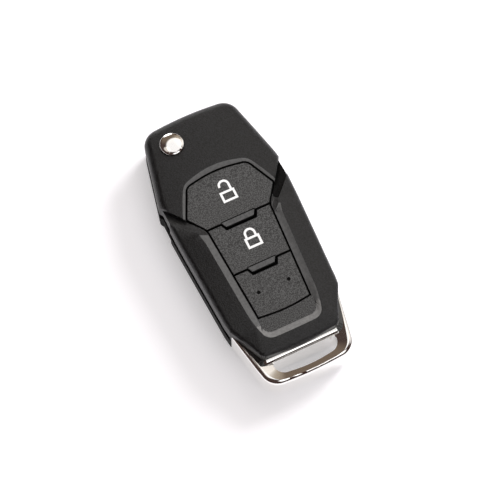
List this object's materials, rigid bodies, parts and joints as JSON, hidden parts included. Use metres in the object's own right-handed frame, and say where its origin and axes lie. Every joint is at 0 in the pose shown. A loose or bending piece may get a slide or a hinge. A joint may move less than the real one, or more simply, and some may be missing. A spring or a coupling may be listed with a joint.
{
  "type": "flip key fob",
  "caption": "Flip-key remote fob for a car: two-part shell, chrome release button, rubber pads for lock and unlock, blade that swings out, and a chrome ring loop.",
  "frame": {"origin": "middle of the bounding box on the back face", "axes": "+Y along the body towards the blade end, +X to the right seen from the front, +Z out of the front face"},
  "size_m": [0.0352, 0.0786, 0.0149],
  "materials": {
    "satin_shell": "fine grained black",
    "rear_black": "fine grained black",
    "pad_rubber": "satin black",
    "sheet_rubber": "moulded sheet",
    "chrome": "mirror plated",
    "steel": "satin",
    "spring_steel": "bright wire",
    "cell_steel": "bright",
    "hub_black": "smooth",
    "carrier_grey": "natural moulded",
    "board_green": "coated laminate",
    "switch_body": "moulded",
    "switch_plunger": "moulded",
    "contact_steel": "plated strip",
    "chip_black": "moulded",
    "can_steel": "bright",
    "capacitor": "fired"
  },
  "bodies": {
    "housing": {"front_shell": "satin_shell", "rear_shell": "rear_black", "ring_loop": "chrome", "blank_pad": "pad_rubber", "keypad_membrane": "sheet_rubber", "inner_frame": "carrier_grey", "circuit_board": "board_green", "unlock_switch": "switch_body", "lock_switch": "switch_body", "coin_cell": "cell_steel", "positive_contact": "contact_steel", "negative_contact": "contact_steel", "controller_chip": "chip_black", "radio_crystal": "can_steel", "board_capacitors": "capacitor", "transponder": "chip_black", "flip_spring": "spring_steel"},
    "blade_hub": {"pivot_hub": "hub_black", "blade": "steel", "blade_pin": "steel"},
    "release": {"release_button": "chrome"},
    "unlock": {"unlock_button": "pad_rubber"},
    "lock": {"lock_button": "pad_rubber"},
    "unlock_plunger": {"unlock_switch_plunger": "switch_plunger"},
    "lock_plunger": {"lock_switch_plunger": "switch_plunger"}
  },
  "joints": [
    {"name": "blade_flip", "type": "hinge", "parent": "housing", "child": "blade_hub", "pos_m": [-0.007, 0.0318, 0.006], "axis": [0, 0, -1], "range_deg": [0, 180]},
    {"name": "release_press", "type": "slide", "parent": "housing", "child": "release", "axis": [0, 0, -1], "range_m": [0, 0.002], "stiffness_N_per_m": 1500, "deforming": ["flip_spring"]},
    {"name": "unlock_press", "type": "slide", "parent": "housing", "child": "unlock", "axis": [0, 0, -1], "range_m": [0, 0.0004], "stiffness_N_per_m": 4000, "deforming": ["keypad_membrane"]},
    {"name": "lock_press", "type": "slide", "parent": "housing", "child": "lock", "axis": [0, 0, -1], "range_m": [0, 0.0004], "stiffness_N_per_m": 4000, "deforming": ["keypad_membrane"]},
    {"name": "unlock_plunger_slide", "type": "slide", "parent": "housing", "child": "unlock_plunger", "axis": [0, 0, -1], "range_m": [0, 0.0004]},
    {"name": "lock_plunger_slide", "type": "slide", "parent": "housing", "child": "lock_plunger", "axis": [0, 0, -1], "range_m": [0, 0.0004]}
  ],
  "couplings": [
    {"joint": "unlock_plunger_slide", "follows": "unlock_press", "ratio": 1},
    {"joint": "lock_plunger_slide", "follows": "lock_press", "ratio": 1}
  ]
}
